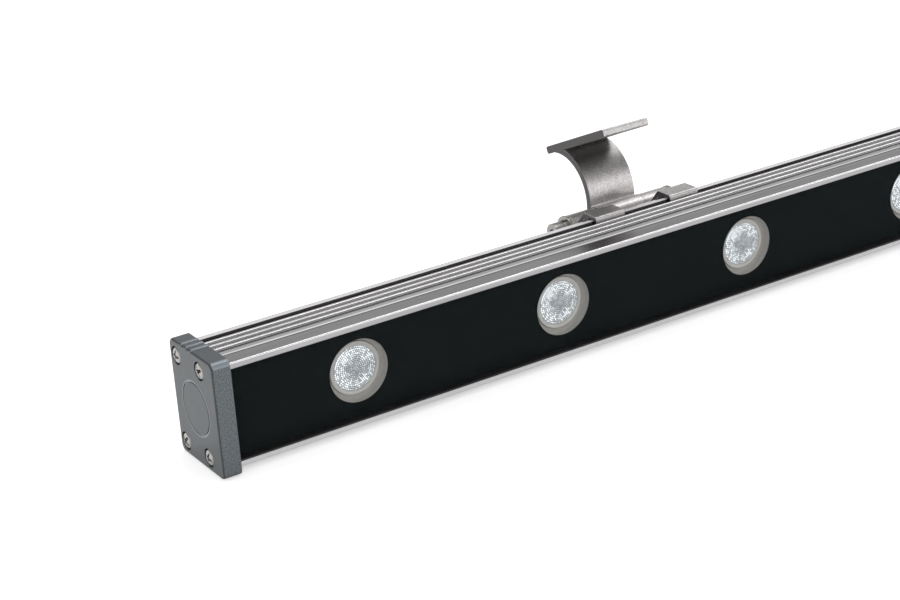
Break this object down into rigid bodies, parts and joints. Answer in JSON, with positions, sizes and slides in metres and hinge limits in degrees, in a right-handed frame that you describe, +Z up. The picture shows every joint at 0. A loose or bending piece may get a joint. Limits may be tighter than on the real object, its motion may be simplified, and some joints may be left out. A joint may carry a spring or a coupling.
{
  "type": "outdoor wall washer light",
  "caption": "Slim linear wall washer: an aluminium bar with a black glass front and lensed windows, cast end caps and hinged clip-on mounting brackets that slide along its back",
  "frame": {"origin": "middle of the bar's flat underside, halfway along the bar and halfway through its depth", "axes": "+X runs along the bar towards the cable inlet, +Y points to the back where the brackets are, the glass faces -Y, +Z is up"},
  "size_m": [0.5308, 0.0709, 0.0662],
  "materials": {
    "anodised": "silver anodised extrusion",
    "satin_aluminium": "satin extrusion, saw-cut ends",
    "clear_glass": "clear toughened glass",
    "black_print": "black print behind the glass",
    "black_silicone": "black silicone",
    "grey_cast": "slate grey die casting",
    "steel": "stainless steel",
    "white_board": "white lacquered metal-core board",
    "phosphor": "yellow phosphor under a clear dome",
    "holder_plastic": "grey-beige moulding",
    "lens_plastic": "clear lens with a beaded face",
    "heat_pad": "blue-grey heat pad",
    "green_board": "green circuit board",
    "driver_black": "black component bodies",
    "gold_pin": "gold-plated pin",
    "gland_plastic": "black nylon"
  },
  "bodies": {
    "lamp": {"housing": "anodised", "front_glass": "clear_glass", "glass_print": "black_print", "glass_seals": "black_silicone", "left_end_cap": "grey_cast", "right_end_cap": "grey_cast", "left_cap_gasket": "black_silicone", "right_cap_gasket": "black_silicone", "left_cap_screws": "steel", "right_cap_screws": "steel", "led_board": "white_board", "leds": "phosphor", "lens_holders": "holder_plastic", "lenses": "lens_plastic", "board_screws": "steel", "driver_pad": "heat_pad", "driver_board": "green_board", "driver_parts": "driver_black", "board_link_pins": "gold_pin", "gland_body": "gland_plastic", "gland_washer": "black_silicone", "gland_seal": "black_silicone", "gland_nut": "gland_plastic"},
    "left_base": {"left_clip": "satin_aluminium", "left_nut_bar": "steel", "left_clamp_screws": "steel", "left_hinge_bolt": "steel", "left_hinge_washers": "steel", "left_hinge_nut": "steel"},
    "left_plate": {"left_arm": "satin_aluminium"},
    "right_base": {"right_clip": "satin_aluminium", "right_nut_bar": "steel", "right_clamp_screws": "steel", "right_hinge_bolt": "steel", "right_hinge_washers": "steel", "right_hinge_nut": "steel"},
    "right_plate": {"right_arm": "satin_aluminium"}
  },
  "joints": [
    {"name": "left_slide", "type": "slide", "parent": "lamp", "child": "left_base", "axis": [1, 0, 0], "range_m": [-0.14, 0.06]},
    {"name": "left_tilt", "type": "hinge", "parent": "left_base", "child": "left_plate", "pos_m": [-0.0715, 0.0262, 0.0283], "axis": [1, 0, 0], "range_deg": [-90, 60]},
    {"name": "right_slide", "type": "slide", "parent": "lamp", "child": "right_base", "axis": [1, 0, 0], "range_m": [-0.06, 0.085]},
    {"name": "right_tilt", "type": "hinge", "parent": "right_base", "child": "right_plate", "pos_m": [0.1285, 0.0262, 0.0283], "axis": [1, 0, 0], "range_deg": [-90, 60]}
  ]
}
